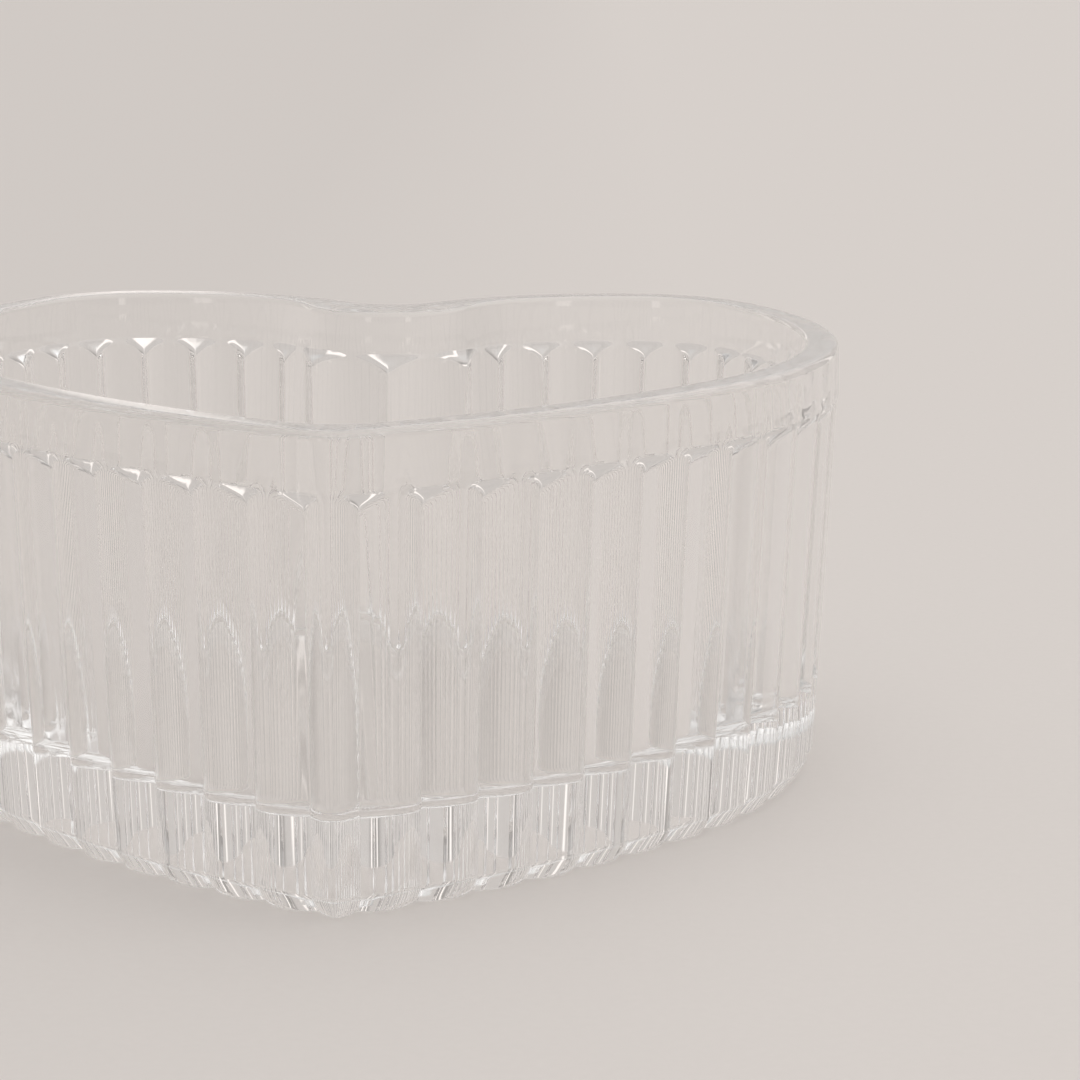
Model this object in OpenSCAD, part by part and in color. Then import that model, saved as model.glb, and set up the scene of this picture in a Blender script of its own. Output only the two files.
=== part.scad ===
// Heart-shaped trinket box: one pressed-glass vessel, open at the top, vertical ribs outside,
// smooth inside, plain band and rounded rim at the top, thick solid foot at the bottom.
// Millimetres. Origin at the middle of the resting face, tip of the heart towards -Y, Z up.

/* [Size] */
// overall width across the two lobes
body_w = 110; // [80:1:160]
// overall height
body_h = 51; // [30:0.5:80]
// wall thickness at the rim
wall_t = 4.0; // [2.5:0.1:7]
// thickness of the solid foot under the cavity
foot_t = 9.4; // [4:0.1:18]

/* [Heart outline] */
// rounding of the tip, outside
tip_r = 5.2; // [5:0.1:12]
// rounding of the tip, inside
tip_in_r = 9; // [7:0.5:20]
// radius of the long side next to the tip
side_r = 138; // [100:1:240]
// radius of the flank between side and shoulder
flank_r = 57.5; // [45:0.5:80]
// radius of the shoulder at the widest part
shoulder_r = 18; // [14:0.5:30]
// radius of the back of each lobe
lobe_r = 35; // [26:0.5:42]
// rounding of the notch between the lobes
notch_r = 6.5; // [3:0.5:12]
// heading where the side begins, degrees
side_from = 29; // [24:1:34]
// heading where the flank begins, degrees
flank_from = 50; // [44:1:60]
// heading where the shoulder begins, degrees
shoulder_from = 122.5; // [110:0.5:130]
// heading where the back of the lobe begins, degrees
lobe_from = 177; // [160:1:185]
// extra thickness of the wall in the notch
notch_t = 5; // [0:0.5:7]
// length of wall on each side of the notch that thickens towards it
notch_span = 20; // [12:1:30]

/* [Ribs] */
// number of ribs all round, odd: a rib on the tip and a groove in the notch
rib_n = 49; // [31:2:71]
// depth of the grooves below the crests
rib_depth = 1.5; // [0.6:0.1:1.8]
// height of the plain band above the ribs
band_h = 6.4; // [3:0.1:12]
// how far the rib crests stand back from the band
band_step = 0.1; // [0.1:0.1:1]
// drop of the sloping shoulder for each millimetre of depth
slope_k = 1.1; // [0.6:0.1:2]

/* [Edges] */
// draft of the outside, degrees
draft_out = 2.7; // [0:0.1:3]
// draft of the inside, degrees
draft_in = 2.5; // [0:0.1:4]
// rounding of the rim, outer edge
rim_out_r = 1.0; // [0.3:0.1:1.8]
// rounding of the rim, inner edge
rim_in_r = 0.7; // [0.3:0.1:1.8]
// height of the bevel on the rib crests, round the bottom edge
bevel_h = 2.2; // [1:0.1:3]
// width of the bevel on the rib crests, round the bottom edge
bevel_w = 1.3; // [1.2:0.1:1.6]
// share of the rib profile that the bevel follows
bevel_follow = 0.8; // [0.1:0.05:0.9]
// radius between inner wall and floor
floor_r = 2.5; // [0.5:0.1:5]

/* [Hidden] */
glass_color = [0.86, 0.88, 0.87, 0.45];
rib_seg = 6;                      // facets on each rib
cols = rib_n * rib_seg;           // columns round the vessel

// unit vectors for a heading: along it and to its left
function along(a) = [cos(a), sin(a)];
function left(a) = [-sin(a), cos(a)];

// centres of the arcs of the right half, built from the tip upwards (unscaled outline)
c_tip = [0, tip_r];
p_side = c_tip - tip_r * left(side_from);
c_side = p_side + side_r * left(side_from);
c_flank = c_side - (side_r - flank_r) * left(flank_from);
c_shoulder = c_flank - (flank_r - shoulder_r) * left(shoulder_from);
c_lobe = c_shoulder - (shoulder_r - lobe_r) * left(lobe_from);
notch_from = 180 + asin(c_lobe[0] / (lobe_r + notch_r));
c_notch = c_lobe - (lobe_r + notch_r) * left(notch_from);
outline_w = 2 * (c_flank[0] + flank_r);
k = body_w / outline_w;
y_mid = k * (c_lobe[1] + lobe_r) / 2;

// tip arc of the outline taken in by d, with tip radius r: its centre and its last heading
function tip_reach(d, r) = k * side_r - d - r;
function tip_end(d, r) = asin(-k * c_side[0] / tip_reach(d, r));
function tip_y(d, r) = k * c_side[1] - sqrt(pow(tip_reach(d, r), 2) - pow(k * c_side[0], 2));

// arcs of the outline taken in by d: [centre, radius, first heading, last heading, turn sign]
function arcs(d, r) = let (a = tip_end(d, r)) [
    [[0, tip_y(d, r)], r, 0, a, 1],
    [k * c_side, k * side_r - d, a, flank_from, 1],
    [k * c_flank, k * flank_r - d, flank_from, shoulder_from, 1],
    [k * c_shoulder, k * shoulder_r - d, shoulder_from, lobe_from, 1],
    [k * c_lobe, k * lobe_r - d, lobe_from, notch_from, 1],
    [k * c_notch, k * notch_r + d, notch_from, 180, -1]
];
function arc_len(q) = q[1] * abs(q[3] - q[2]) * PI / 180;
function total(v, n) = n < 0 ? 0 : v[n] + total(v, n - 1);

// point of a half outline at the length s: [x, y, heading]
function walk(v, s, i = 0) =
    let (n = arc_len(v[i]))
    s > n && i < len(v) - 1 ? walk(v, s - n, i + 1)
    : let (q = v[i], a = q[2] + (q[3] - q[2]) * s / n, p = q[0] - q[4] * q[1] * left(a))
      [p[0], p[1] - y_mid, a];

// whole outline: point number j of the columns, counter-clockwise from the tip, moved in by e
function ring_point(v, half, j, e) =
    let (u = 2 * j / cols, m = u > 1, s = (m ? 2 - u : u) * half, w = walk(v, s),
         p = [w[0], w[1]] + e * left(w[2]))
    m ? [-p[0], p[1]] : p;

// depth of the rib surface below its crest at column j
pitch = 2 * total([for (q = arcs(0, k * tip_r)) arc_len(q)], 5) / rib_n;
rib_r = (pow(pitch / 2, 2) + pow(rib_depth, 2)) / (2 * rib_depth);
function rib_in(j) =
    let (f = j / rib_seg + 0.5, x = (f - floor(f) - 0.5) * pitch)
    rib_r - sqrt(rib_r * rib_r - x * x);

// extra wall thickness at column j of a half outline, greatest in the notch
function notch_in(half, j) =
    let (away = half * abs(1 - 2 * j / cols))
    away > notch_span ? 0 : notch_t * pow(cos(90 * away / notch_span), 2);

// one ring of the outside: taken in by d, tip radius r, z
function plain_ring(d, r, z) =
    let (v = arcs(d, r), half = total([for (q = v) arc_len(q)], 5))
    [for (j = [0 : cols - 1]) let (p = ring_point(v, half, j, 0)) [p[0], p[1], z]];

// one ring of the inside: as above, and thickened towards the notch
function inner_ring(d, r, z) =
    let (v = arcs(d, r), half = total([for (q = v) arc_len(q)], 5))
    [for (j = [0 : cols - 1])
        let (p = ring_point(v, half, j, notch_in(half, j))) [p[0], p[1], z]];

// bottom edge: the foot taken in by d, the bevel and its share of the rib profile
function bottom_ring(d) =
    let (v = arcs(d, k * tip_r - d), half = total([for (q = v) arc_len(q)], 5))
    [for (j = [0 : cols - 1])
        let (p = ring_point(v, half, j, bevel_w + bevel_follow * rib_in(j))) [p[0], p[1], 0]];

// upper edge of the bevel: a little lower in the grooves than on the crests
function bevel_ring(d) =
    let (v = arcs(d, k * tip_r - d), half = total([for (q = v) arc_len(q)], 5))
    [for (j = [0 : cols - 1])
        let (e = rib_in(j), p = ring_point(v, half, j, e))
        [p[0], p[1], bevel_h * (1 - (1 - bevel_follow) * e / bevel_w)]];

// the top ends of the ribs: each column stops where it meets the sloping shoulder
function arch_ring(d) =
    let (v = arcs(d, k * tip_r - d), half = total([for (q = v) arc_len(q)], 5))
    [for (j = [0 : cols - 1])
        let (e = rib_in(j), p = ring_point(v, half, j, e))
        [p[0], p[1], z_band - slope_k * (d + e)]];

z_band = body_h - band_h;
rib_foot_d = band_step + tan(draft_out) * (z_band - bevel_h);
tip_out = k * tip_r;
in_d = wall_t + tan(draft_in) * (body_h - foot_t - floor_r);
in_tip = tip_in_r - (in_d - wall_t);

rings = concat(
    [bottom_ring(rib_foot_d)],
    [bevel_ring(rib_foot_d)],
    [arch_ring(band_step)],
    [plain_ring(0, tip_out, z_band)],
    [for (a = [0, 45, 90]) let (d = rim_out_r * (1 - cos(a)))
        plain_ring(d, tip_out - d, body_h - rim_out_r * (1 - sin(a)))],
    [for (a = [90, 45, 0]) let (d = rim_in_r * (1 - cos(a)))
        inner_ring(wall_t - d, tip_in_r + d, body_h - rim_in_r * (1 - sin(a)))],
    [for (a = [0, 30, 60, 90]) let (d = floor_r * (1 - cos(a)))
        inner_ring(in_d + d, in_tip - d, foot_t + floor_r * (1 - sin(a)))]
);
n_rings = len(rings);

module glass_body() {
    color(glass_color)
    polyhedron(
        points = [for (r = rings) each r],
        faces = concat(
            [[for (j = [0 : cols - 1]) j]],
            [for (i = [0 : n_rings - 2], j = [0 : cols - 1], t = [0, 1])
                let (a = i * cols + j, b = i * cols + (j + 1) % cols)
                t == 0 ? [a, a + cols, b] : [b, a + cols, b + cols]],
            [[for (j = [cols - 1 : -1 : 0]) (n_rings - 1) * cols + j]]
        )
    );
}

glass_body();
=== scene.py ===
"""Heart-shaped trinket box: one ribbed, open vessel of clear pressed glass on a pale table."""

import math

import bpy
import numpy as np
from mathutils import Matrix, Vector


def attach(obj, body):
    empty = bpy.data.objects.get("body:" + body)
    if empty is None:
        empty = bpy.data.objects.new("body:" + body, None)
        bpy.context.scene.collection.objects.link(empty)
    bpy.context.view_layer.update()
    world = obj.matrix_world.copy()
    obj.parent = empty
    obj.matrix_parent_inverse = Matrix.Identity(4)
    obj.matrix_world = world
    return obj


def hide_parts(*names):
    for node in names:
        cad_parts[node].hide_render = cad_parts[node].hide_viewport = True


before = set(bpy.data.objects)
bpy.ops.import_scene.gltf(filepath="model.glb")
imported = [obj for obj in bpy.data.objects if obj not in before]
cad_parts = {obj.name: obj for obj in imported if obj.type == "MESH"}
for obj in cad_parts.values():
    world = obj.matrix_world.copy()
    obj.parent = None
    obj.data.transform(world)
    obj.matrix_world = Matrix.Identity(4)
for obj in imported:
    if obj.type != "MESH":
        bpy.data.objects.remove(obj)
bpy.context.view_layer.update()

MM = 0.001

# ---------------------------------------------------------------- dimensions, millimetres
BODY_W = 110.0
BODY_H = 51.0
WALL_T = 4.0
FOOT_T = 9.4
TIP_R = 5.2
TIP_IN_R = 9.0
SIDE_R = 138.0
FLANK_R = 57.5
SHOULDER_R = 18.0
LOBE_R = 35.0
NOTCH_R = 6.5
SIDE_FROM = math.radians(29)
FLANK_FROM = math.radians(50)
SHOULDER_FROM = math.radians(122.5)
LOBE_FROM = math.radians(177)
NOTCH_T = 5.0
NOTCH_SPAN = 20.0
RIB_N = 49
RIB_DEPTH = 1.5
BAND_H = 6.4
BAND_STEP = 0.1
SLOPE_K = 1.1
DRAFT_OUT = math.tan(math.radians(2.7))
DRAFT_IN = math.tan(math.radians(2.5))
RIM_OUT_R = 1.0
RIM_IN_R = 0.7
BEVEL_H = 2.2
BEVEL_W = 1.3
BEVEL_FOLLOW = 0.8
FLOOR_R = 2.5
Z_BAND = BODY_H - BAND_H
# blending of the surfaces where they meet: in the grooves, between slope and band, between
# rib and slope, and between rib and bevel
GROOVE_SOFT = 0.10
BAND_SOFT = 0.5
SLOPE_SOFT = 0.5
FOOT_SOFT = 0.15

# ---------------------------------------------------------------- fineness of the mesh
# columns on each rib
RIB_COLS = 24
# rings on the ribs, and offsets of the rings above the rib tops' crossing with the slope
RIB_RINGS = (4.0, 8.0, 12.0, 18.0, 24.0, 30.0, 36.0, 39.0)
CROSS_RINGS = (-1.0, -0.6, -0.45, -0.3, -0.15, 0.0, 0.15, 0.3)
# rings from there to just above the lower edge of the band, as shares, and that last height
SLOPE_RINGS = (0.2, 0.4, 0.55, 0.7, 0.85, 1.0)
OVER_BAND = 0.55
# rounded bottom edge: height and how much further in
EDGE_RINGS = ((0.0, 0.16), (0.04, 0.06), (0.14, 0.0))
# rings on the bevel as shares, its least height in a groove, and rings just above it
BEVEL_RINGS = (0.4, 0.75, 0.93, 1.0)
BEVEL_LEAST = 0.2
BEVEL_OVER = (0.1, 0.25, 0.5)
# rings down the inner wall as shares, and rings across the two flat faces as shares
WALL_RINGS = (0.05, 0.35, 0.7, 1.0)
FLAT_RINGS = (0.985, 0.93, 0.8, 0.55, 0.25)
# points on the roundings of the rim and of the floor's edge
RIM_STEPS = 8
FLOOR_STEPS = 10
# middle of the two flat faces
FLAT_CENTRE = (0.0, 2.0)

# ---------------------------------------------------------------- looks
GLASS_COLOUR = (0.99, 0.988, 0.985, 1)
GLASS_IOR = 1.5
GLASS_ROUGHNESS = 0.03
# faint waviness left by the mould
WAVE_SCALE = 160.0
WAVE_STRENGTH = 0.02
WAVE_DISTANCE = 0.00015
# share of a shadow ray let through, from upright faces to level ones
SHADOW_SHARE = ((0.0, 0.88), (1.0, 1.0))
# the two tones of the table's paper, and the size of its grain
PAPER_DARK = (0.775, 0.733, 0.705, 1)
PAPER_LIGHT = (0.80, 0.757, 0.728, 1)
PAPER_GRAIN = 900.0
# painted shade: the table's colour is made a little darker on the left, where less light falls:
# from this x, up to this x, in metres, and how much
LEFT_SHADE_FROM = -0.07
LEFT_SHADE_TO = 0.05
LEFT_SHADE_SHARE = 0.93
# half the table's side, and its drop below the resting face, in metres
TABLE_HALF = 4.0
TABLE_DROP = 0.0001
# a ramp with no tint
PLAIN = (1, 1, 1)
# sockets of a colour mix node: its two inputs and its output
MIX_FIRST = 6
MIX_SECOND = 7
MIX_RESULT = 2
# light bounces that the thick ribbed glass needs
BOUNCES = 32

# ---------------------------------------------------------------- light of the room
# overall brightness of the light that falls on the scene
WORLD_STRENGTH = 0.915
# what the camera sees past the table's far edge
BACKDROP = (0.66, 0.61, 0.577, 1.0)
WALL_TINT = (1.06, 0.995, 0.95)
CEILING_TINT = (1.015, 1.0, 0.985)
# brightness of the walls by direction, degrees from +Y towards +X
WALL = 0.33
WALLS_BEHIND = ((-180, WALL), (-25, WALL), (-19, 0.62), (19, 0.62), (25, WALL), (180, WALL))
# windows in the walls: direction, half width in degrees, brightness
WINDOWS = (
    (-154, 4, 2.2),
    (-43, 2, 1.5),
    (-29, 1.5, 1.3),
    (-8, 0.8, 1.25),
    (27, 1.5, 1.4),
    (152, 3, 2.5),
)
# degrees over which a window's edge fades into the wall
WINDOW_FADE = 1
# brightness of the ceiling by the height of the direction, and its share from left to right
WORLD_CEILING = ((0.0, 0.8), (0.5, 0.8), (1.0, 1.15))
WORLD_SIDE = ((0.0, 0.45), (0.5, 1.0), (1.0, 1.7))
# heights of the direction between which the walls give way to the ceiling
WORLD_WALL_TO = 0.25
WORLD_CEILING_FROM = 0.5

# ---------------------------------------------------------------- camera
# distance in metres from the middle of the resting face, direction to it and focal length
CAM_DIST = 0.3863
CAM_AZ = math.radians(3.95)
CAM_EL = math.radians(15.82)
CAM_LENS = 109.1
SENSOR = 36.0
# how far it then turns away from that middle
CAM_TURN = math.radians(-3.02)
CAM_TILT = math.radians(4.19)
CAM_ROLL = math.radians(0.59)


# ---------------------------------------------------------------- heart outline
def left(a):
    """Unit vector to the left of a heading, as an array of x, y."""
    return np.array([-np.sin(a), np.cos(a)])


def heart_centres():
    """Centres of the arcs of the right half, its scale and the y of its middle."""
    p = TIP_R * np.array([0.0, 1.0]) - TIP_R * left(SIDE_FROM)
    side = p + SIDE_R * left(SIDE_FROM)
    flank = side - (SIDE_R - FLANK_R) * left(FLANK_FROM)
    shoulder = flank - (FLANK_R - SHOULDER_R) * left(SHOULDER_FROM)
    lobe = shoulder - (SHOULDER_R - LOBE_R) * left(LOBE_FROM)
    notch_from = math.pi + math.asin(lobe[0] / (LOBE_R + NOTCH_R))
    notch = lobe - (LOBE_R + NOTCH_R) * left(notch_from)
    k = BODY_W / (2 * (flank[0] + FLANK_R))
    y_mid = k * (lobe[1] + LOBE_R) / 2
    return side, flank, shoulder, lobe, notch, notch_from, k, y_mid


def half_arcs(d, tip_r):
    """Arcs of the half outline taken in by d: centre, radius, headings, sign of the turn."""
    side, flank, shoulder, lobe, notch, notch_from, k, _ = heart_centres()
    reach = k * SIDE_R - d - tip_r
    a = math.asin(-k * side[0] / reach)
    tip_y = k * side[1] - math.sqrt(reach ** 2 - (k * side[0]) ** 2)
    return [
        (np.array([0.0, tip_y]), tip_r, 0.0, a, 1),
        (k * side, k * SIDE_R - d, a, FLANK_FROM, 1),
        (k * flank, k * FLANK_R - d, FLANK_FROM, SHOULDER_FROM, 1),
        (k * shoulder, k * SHOULDER_R - d, SHOULDER_FROM, LOBE_FROM, 1),
        (k * lobe, k * LOBE_R - d, LOBE_FROM, notch_from, 1),
        (k * notch, k * NOTCH_R + d, notch_from, math.pi, -1),
    ]


def contour(u, d, tip_r):
    """Points and inward normals of the whole outline taken in by d, at fractions u of the
    way round, counter-clockwise from the tip."""
    y_mid = heart_centres()[7]
    arcs = half_arcs(d, tip_r)
    lengths = np.array([r * abs(b - a) for _, r, a, b, _ in arcs])
    ends = np.cumsum(lengths)
    mirrored = u > 0.5
    s = np.where(mirrored, 1 - u, u) * 2 * ends[-1]
    points = np.zeros((len(u), 2))
    normals = np.zeros((len(u), 2))
    which = np.minimum(np.searchsorted(ends, s), len(arcs) - 1)
    for i, (c, r, a, b, sign) in enumerate(arcs):
        m = which == i
        h = a + (b - a) * (s[m] - (ends[i] - lengths[i])) / lengths[i]
        n = left(h).T
        points[m] = c - sign * r * n
        normals[m] = n
    points[:, 1] -= y_mid
    points[mirrored, 0] *= -1
    normals[mirrored, 0] *= -1
    return points, normals


def half_length(d, tip_r):
    """Length of half the outline."""
    return sum(r * abs(b - a) for _, r, a, b, _ in half_arcs(d, tip_r))


def smooth_min(a, b, k):
    """Lower of two depths, blended over k millimetres."""
    h = np.maximum(k - np.abs(a - b), 0) / k
    return np.minimum(a, b) - h * h * k / 4


# ---------------------------------------------------------------- the glass body
def column_fractions():
    """Fractions round the outline, closer together at the grooves, and the place of each
    column across its rib from -0.5 to 0.5."""
    steps = np.sin(np.linspace(-1, 1, RIB_COLS + 1)[:-1] * math.pi / 2) * 0.5
    place = np.tile(steps, RIB_N)
    rib = np.repeat(np.arange(RIB_N), RIB_COLS)
    u = ((rib + place) / RIB_N) % 1.0
    return u, place


def rib_profile(place):
    """Depth of the rib surface below its crest, with a softened groove."""
    pitch = 2 * half_length(0, heart_centres()[6] * TIP_R) / RIB_N
    r = ((pitch / 2) ** 2 + RIB_DEPTH ** 2) / (2 * RIB_DEPTH)
    x = np.abs(place) * pitch
    here = r - np.sqrt(r * r - x * x)
    other = r - np.sqrt(np.maximum(r * r - (pitch - x) ** 2, 0))
    return smooth_min(here, other, GROOVE_SOFT)


def outer_depth(z, e):
    """How far the outside stands back from the rim outline at height z, rib profile e."""
    rib = BAND_STEP + DRAFT_OUT * (Z_BAND - z) + e
    slope = (Z_BAND - z) / SLOPE_K
    slope = -smooth_min(-slope, np.zeros_like(slope), BAND_SOFT)
    return smooth_min(rib, slope, SLOPE_SOFT)


def foot_depth(z, e):
    """How far the outside stands back at height z near the bottom edge, rib profile e."""
    rib = BAND_STEP + DRAFT_OUT * (Z_BAND - z) + e
    bevel = rib - e + BEVEL_W * (1 - z / BEVEL_H) + BEVEL_FOLLOW * e
    return -smooth_min(-rib, -bevel, FOOT_SOFT)


def outside_rings(u, e):
    """Rings of points from the bottom edge up to the outer edge of the rim."""
    tip_r = heart_centres()[6] * TIP_R
    rings = []

    def add(d, z):
        """A ring at the depths d and heights z, laid out on the outline of its mean height."""
        d0 = BAND_STEP + DRAFT_OUT * max(Z_BAND - z.mean(), 0)
        base, inward = contour(u, d0, tip_r - d0)
        rings.append(np.column_stack([base + inward * (d - d0)[:, None], z]))

    one = np.ones(len(u))
    for z, extra in EDGE_RINGS:
        add(foot_depth(one * z, e) + extra, one * z)
    edge = EDGE_RINGS[-1][0]
    top = BEVEL_H * (1 - (1 - BEVEL_FOLLOW) * e / BEVEL_W)
    for t in BEVEL_RINGS:
        z = edge + (np.maximum(top, BEVEL_LEAST) - edge) * t
        add(foot_depth(z, e), z)
    for t in BEVEL_OVER:
        z = np.maximum(top, BEVEL_LEAST) + t
        add(foot_depth(z, e), z)
    for z in RIB_RINGS:
        add(outer_depth(one * z, e), one * z)
    cross = Z_BAND - SLOPE_K * (BAND_STEP + e)
    for t in CROSS_RINGS:
        z = cross + t
        add(outer_depth(z, e), z)
    low = cross + CROSS_RINGS[-1]
    high = one * (Z_BAND + OVER_BAND)
    for t in SLOPE_RINGS:
        z = low + (high - low) * t
        add(outer_depth(z, e), z)
    for a in np.linspace(0, math.pi / 2, RIM_STEPS):
        z = BODY_H - RIM_OUT_R * (1 - math.sin(a))
        add(one * RIM_OUT_R * (1 - math.cos(a)), one * z)
    return rings


def notch_depth(u, half):
    """Extra wall thickness, greatest in the notch, half way round the outline."""
    away = np.minimum(half * np.abs(1 - 2 * u) / NOTCH_SPAN, 1)
    return NOTCH_T * np.cos(away * math.pi / 2) ** 2


def inside_rings(u):
    """Rings from the inner edge of the rim down to the edge of the floor."""
    base, inward = contour(u, WALL_T, TIP_IN_R)
    base = base + inward * notch_depth(u, half_length(WALL_T, TIP_IN_R))[:, None]
    one = np.ones(len(u))
    rings = []

    def add(d, z):
        """A level ring at the depth d and height z."""
        rings.append(np.column_stack([base + inward * d, one * z]))

    for a in np.linspace(math.pi / 2, 0, RIM_STEPS):
        add(-RIM_IN_R * (1 - math.cos(a)), BODY_H - RIM_IN_R * (1 - math.sin(a)))
    wall_foot = FOOT_T + FLOOR_R
    for t in WALL_RINGS:
        z = BODY_H - RIM_IN_R + (wall_foot - BODY_H + RIM_IN_R) * t
        add(DRAFT_IN * (BODY_H - z), z)
    d0 = DRAFT_IN * (BODY_H - wall_foot)
    for a in np.linspace(0, math.pi / 2, FLOOR_STEPS)[1:]:
        add(d0 + FLOOR_R * (1 - math.cos(a)), FOOT_T + FLOOR_R * (1 - math.sin(a)))
    return rings


def cap_rings(edge, centre, z, shares):
    """Rings that shrink a flat face's edge towards its centre."""
    flat = edge[:, :2] - centre
    return [np.column_stack([centre + flat * s, np.full(len(edge), z)]) for s in shares]


def build_glass():
    """The closed glass mesh, in metres, in the row frame."""
    u, place = column_fractions()
    e = rib_profile(place)
    outside = outside_rings(u, e)
    inside = inside_rings(u)
    centre = np.array(FLAT_CENTRE)
    under = cap_rings(outside[0], centre, 0.0, FLAT_RINGS)[::-1]
    floor = cap_rings(inside[-1], centre, FOOT_T, FLAT_RINGS)
    rings = under + outside + inside + floor
    n = len(u)
    middles = [[*centre, 0.0], [*centre, FOOT_T]]
    points = np.vstack(rings + [middles])
    verts = [tuple(p) for p in points * MM]
    j = np.arange(n)
    nxt = (j + 1) % n
    faces = []
    for i in range(len(rings) - 1):
        a = i * n + j
        b = i * n + nxt
        faces += np.column_stack([a, b, b + n, a + n]).tolist()
    bottom = len(rings) * n
    faces += np.column_stack([np.full(n, bottom), nxt, j]).tolist()
    last = (len(rings) - 1) * n
    faces += np.column_stack([np.full(n, bottom + 1), last + j, last + nxt]).tolist()
    mesh = bpy.data.meshes.new("heart_glass")
    mesh.from_pydata(verts, [], faces)
    mesh.validate()
    mesh.update()
    mesh.polygons.foreach_set("use_smooth", [True] * len(mesh.polygons))
    piece = bpy.data.objects.new("heart_glass", mesh)
    bpy.context.scene.collection.objects.link(piece)
    return piece


# ---------------------------------------------------------------- materials
def new_material(name):
    """An empty material with its nodes, its links and its main shader."""
    mat = bpy.data.materials.new(name)
    mat.use_nodes = True
    nodes = mat.node_tree.nodes
    return mat, nodes, mat.node_tree.links, nodes["Principled BSDF"]


def glass_material():
    """Clear pressed glass: smooth, with the faint waviness that the mould leaves. Shadow rays
    pass straight through with a shade, so that the table under the glass stays light."""
    mat, nodes, links, bsdf = new_material("clear_pressed_glass")
    bsdf.inputs["Base Color"].default_value = GLASS_COLOUR
    bsdf.inputs["Transmission Weight"].default_value = 1.0
    bsdf.inputs["IOR"].default_value = GLASS_IOR
    bsdf.inputs["Roughness"].default_value = GLASS_ROUGHNESS
    coord = nodes.new("ShaderNodeTexCoord")
    wave = nodes.new("ShaderNodeTexNoise")
    wave.inputs["Scale"].default_value = WAVE_SCALE
    wave.inputs["Detail"].default_value = 2.0
    links.new(coord.outputs["Object"], wave.inputs["Vector"])
    bump = nodes.new("ShaderNodeBump")
    bump.inputs["Strength"].default_value = WAVE_STRENGTH
    bump.inputs["Distance"].default_value = WAVE_DISTANCE
    links.new(wave.outputs["Fac"], bump.inputs["Height"])
    links.new(bump.outputs["Normal"], bsdf.inputs["Normal"])
    path = nodes.new("ShaderNodeLightPath")
    clear = nodes.new("ShaderNodeBsdfTransparent")
    shape = nodes.new("ShaderNodeNewGeometry")
    upright = nodes.new("ShaderNodeSeparateXYZ")
    links.new(shape.outputs["Normal"], upright.inputs["Vector"])
    level = nodes.new("ShaderNodeMath")
    level.operation = "ABSOLUTE"
    links.new(upright.outputs["Z"], level.inputs[0])
    shade = colour_ramp(nodes, SHADOW_SHARE, PLAIN)
    links.new(level.outputs["Value"], shade.inputs["Fac"])
    links.new(shade.outputs["Color"], clear.inputs["Color"])
    mix = nodes.new("ShaderNodeMixShader")
    links.new(path.outputs["Is Shadow Ray"], mix.inputs["Fac"])
    links.new(bsdf.outputs["BSDF"], mix.inputs[1])
    links.new(clear.outputs["BSDF"], mix.inputs[2])
    links.new(mix.outputs["Shader"], nodes["Material Output"].inputs["Surface"])
    return mat


def table_material():
    """Pale beige paper with a faint grain, and painted shade that makes its colour a little
    darker on the left.
    """
    mat, nodes, links, bsdf = new_material("pale_table")
    coord = nodes.new("ShaderNodeTexCoord")
    grain = nodes.new("ShaderNodeTexNoise")
    grain.inputs["Scale"].default_value = PAPER_GRAIN
    grain.inputs["Detail"].default_value = 3.0
    links.new(coord.outputs["Object"], grain.inputs["Vector"])
    ramp = nodes.new("ShaderNodeValToRGB")
    ramp.color_ramp.elements[0].color = PAPER_DARK
    ramp.color_ramp.elements[1].color = PAPER_LIGHT
    links.new(grain.outputs["Fac"], ramp.inputs["Fac"])
    split = nodes.new("ShaderNodeSeparateXYZ")
    links.new(coord.outputs["Object"], split.inputs["Vector"])
    # painted shade: the paper's colour is multiplied down towards the left
    left_shade = nodes.new("ShaderNodeMapRange")
    left_shade.inputs["From Min"].default_value = LEFT_SHADE_FROM
    left_shade.inputs["From Max"].default_value = LEFT_SHADE_TO
    left_shade.inputs["To Min"].default_value = LEFT_SHADE_SHARE
    links.new(split.outputs["X"], left_shade.inputs["Value"])
    paper = mixed(nodes, links, "MULTIPLY", None, ramp.outputs["Color"], left_shade.outputs["Result"])
    links.new(paper, bsdf.inputs["Base Color"])
    bsdf.inputs["Roughness"].default_value = 0.85
    bsdf.inputs["Specular IOR Level"].default_value = 0.1
    return mat


# ---------------------------------------------------------------- stage, light, camera
def build_table():
    """A wide, flat, pale table."""
    mesh = bpy.data.meshes.new("table")
    a = TABLE_HALF
    mesh.from_pydata([(-a, -a, 0), (a, -a, 0), (a, a, 0), (-a, a, 0)], [], [(0, 1, 2, 3)])
    obj = bpy.data.objects.new("table", mesh)
    obj.location.z = -TABLE_DROP
    bpy.context.scene.collection.objects.link(obj)
    obj.data.materials.append(table_material())
    return obj


def colour_ramp(nodes, stops, tint):
    """A colour ramp through the given places and brightnesses, in one tint."""
    ramp = nodes.new("ShaderNodeValToRGB")
    elements = ramp.color_ramp.elements
    while len(elements) < len(stops):
        elements.new(0.5)
    for element, (place, value) in zip(elements, stops):
        element.position = place
        element.color = (value * tint[0], value * tint[1], value * tint[2], 1)
    return ramp


def wall_stops():
    """The walls all round as ramp stops: plain walls with a few narrow windows let in."""
    stops = list(WALLS_BEHIND)
    for az, half, value in WINDOWS:
        wall = np.interp(az, [a for a, _ in WALLS_BEHIND], [v for _, v in WALLS_BEHIND])
        stops += [(az - half - WINDOW_FADE, wall), (az - half, value)]
        stops += [(az + half, value), (az + half + WINDOW_FADE, wall)]
    return [(0.5 + az / 360, float(value)) for az, value in sorted(stops)]


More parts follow.
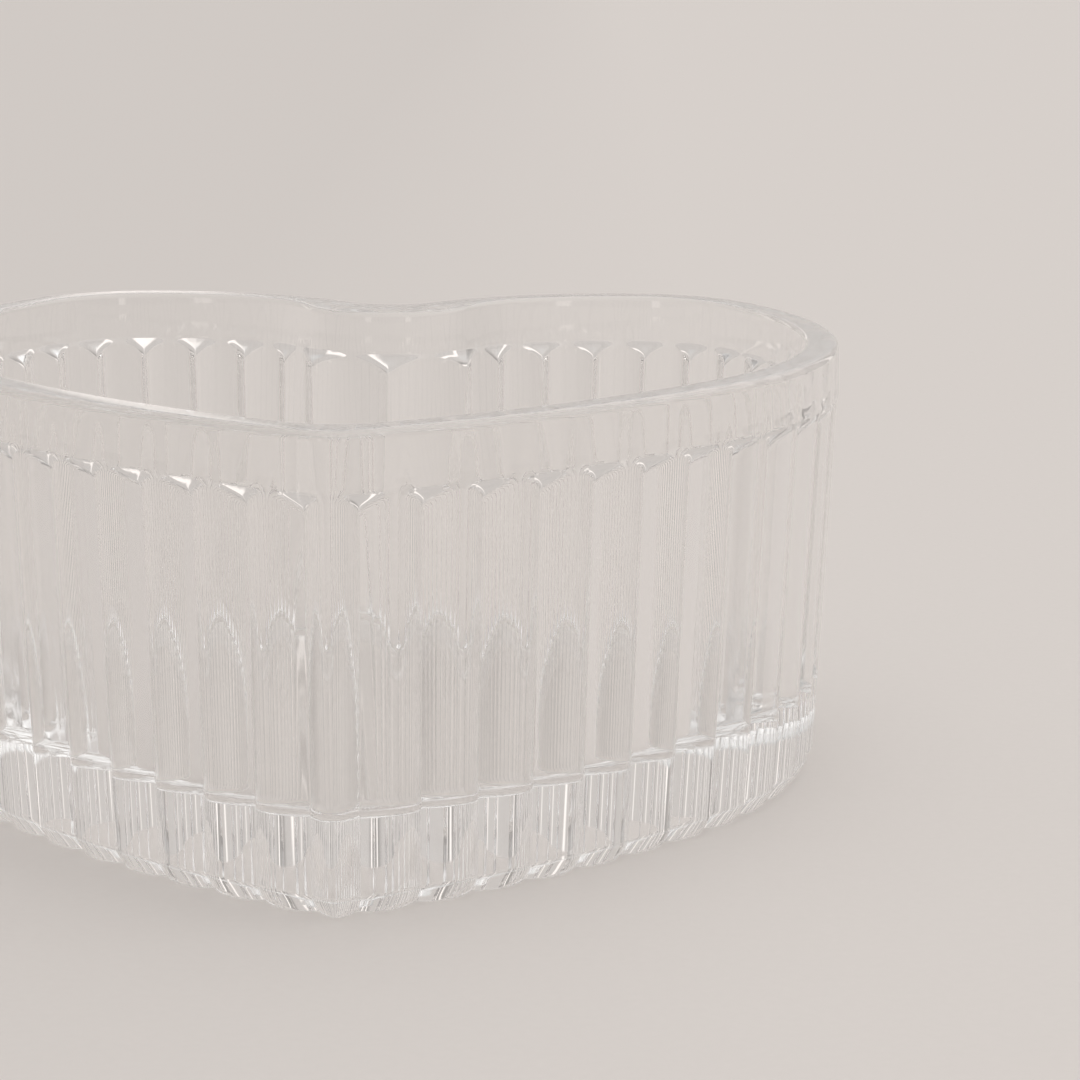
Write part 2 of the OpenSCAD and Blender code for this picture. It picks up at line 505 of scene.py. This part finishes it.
def mixed(nodes, links, kind, factor, first, second):
    """Output of a colour mix node of the given kind."""
    mix = nodes.new("ShaderNodeMix")
    mix.data_type = "RGBA"
    mix.blend_type = kind
    if factor is None:
        mix.inputs["Factor"].default_value = 1.0
    else:
        links.new(factor, mix.inputs["Factor"])
    links.new(first, mix.inputs[MIX_FIRST])
    links.new(second, mix.inputs[MIX_SECOND])
    return mix.outputs[MIX_RESULT]


def set_world():
    """Soft room light: walls and windows low down by direction, and a brighter ceiling. The
    camera itself sees a plain pale backdrop in place of it."""
    world = bpy.data.worlds.new("studio")
    bpy.context.scene.world = world
    world.use_nodes = True
    nodes = world.node_tree.nodes
    links = world.node_tree.links
    back = nodes["Background"]
    back.inputs["Strength"].default_value = WORLD_STRENGTH
    coord = nodes.new("ShaderNodeTexCoord")
    split = nodes.new("ShaderNodeSeparateXYZ")
    links.new(coord.outputs["Generated"], split.inputs["Vector"])
    turn = nodes.new("ShaderNodeMath")
    turn.operation = "ARCTAN2"
    links.new(split.outputs["X"], turn.inputs[0])
    links.new(split.outputs["Y"], turn.inputs[1])
    share = nodes.new("ShaderNodeMapRange")
    share.inputs["From Min"].default_value = -math.pi
    share.inputs["From Max"].default_value = math.pi
    links.new(turn.outputs["Value"], share.inputs["Value"])
    walls = colour_ramp(nodes, wall_stops(), WALL_TINT)
    links.new(share.outputs["Result"], walls.inputs["Fac"])
    ceiling = colour_ramp(nodes, WORLD_CEILING, CEILING_TINT)
    links.new(split.outputs["Z"], ceiling.inputs["Fac"])
    side = colour_ramp(nodes, WORLD_SIDE, PLAIN)
    half = nodes.new("ShaderNodeMapRange")
    half.inputs["From Min"].default_value = -1.0
    links.new(split.outputs["X"], half.inputs["Value"])
    links.new(half.outputs["Result"], side.inputs["Fac"])
    high = mixed(nodes, links, "MULTIPLY", None, ceiling.outputs["Color"], side.outputs["Color"])
    lift = nodes.new("ShaderNodeMapRange")
    lift.interpolation_type = "SMOOTHSTEP"
    lift.inputs["From Min"].default_value = WORLD_WALL_TO
    lift.inputs["From Max"].default_value = WORLD_CEILING_FROM
    links.new(split.outputs["Z"], lift.inputs["Value"])
    whole = mixed(nodes, links, "MIX", lift.outputs["Result"], walls.outputs["Color"], high)
    links.new(whole, back.inputs["Color"])
    plain = nodes.new("ShaderNodeBackground")
    plain.inputs["Color"].default_value = BACKDROP
    path = nodes.new("ShaderNodeLightPath")
    seen = nodes.new("ShaderNodeMixShader")
    links.new(path.outputs["Is Camera Ray"], seen.inputs["Fac"])
    links.new(back.outputs["Background"], seen.inputs[1])
    links.new(plain.outputs["Background"], seen.inputs[2])
    links.new(seen.outputs["Shader"], nodes["World Output"].inputs["Surface"])


def set_camera():
    """In front of the tip, looking down a little, with the vessel left of the middle."""
    data = bpy.data.cameras.new("camera")
    data.sensor_width = SENSOR
    data.lens = CAM_LENS
    data.clip_start = 0.01
    data.clip_end = 50.0
    cam = bpy.data.objects.new("camera", data)
    back = Vector((
        math.sin(CAM_AZ) * math.cos(CAM_EL),
        -math.cos(CAM_AZ) * math.cos(CAM_EL),
        math.sin(CAM_EL),
    ))
    forward = -back
    right = forward.cross(Vector((0, 0, 1))).normalized()
    up = right.cross(forward)
    turn = Matrix.Rotation(CAM_TURN, 3, up)
    forward, right = turn @ forward, turn @ right
    tilt = Matrix.Rotation(CAM_TILT, 3, right)
    forward, up = tilt @ forward, tilt @ up
    roll = Matrix.Rotation(CAM_ROLL, 3, forward)
    right, up = roll @ right, roll @ up
    cam.rotation_mode = "QUATERNION"
    cam.matrix_world = Matrix((
        (right.x, up.x, -forward.x, back.x * CAM_DIST),
        (right.y, up.y, -forward.y, back.y * CAM_DIST),
        (right.z, up.z, -forward.z, back.z * CAM_DIST),
        (0, 0, 0, 1),
    ))
    bpy.context.scene.collection.objects.link(cam)
    bpy.context.scene.camera = cam
    return cam


# ---------------------------------------------------------------- the scene
set_camera()
glass = build_glass()
glass.data.materials.append(glass_material())
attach(glass, "root")
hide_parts("glass_body")
build_table()
set_world()
scene = bpy.context.scene
scene.view_settings.view_transform = "Standard"
scene.cycles.max_bounces = BOUNCES
scene.cycles.transmission_bounces = BOUNCES
scene.cycles.glossy_bounces = BOUNCES
scene.cycles.transparent_max_bounces = BOUNCES
scene.cycles.caustics_reflective = False
scene.cycles.caustics_refractive = True
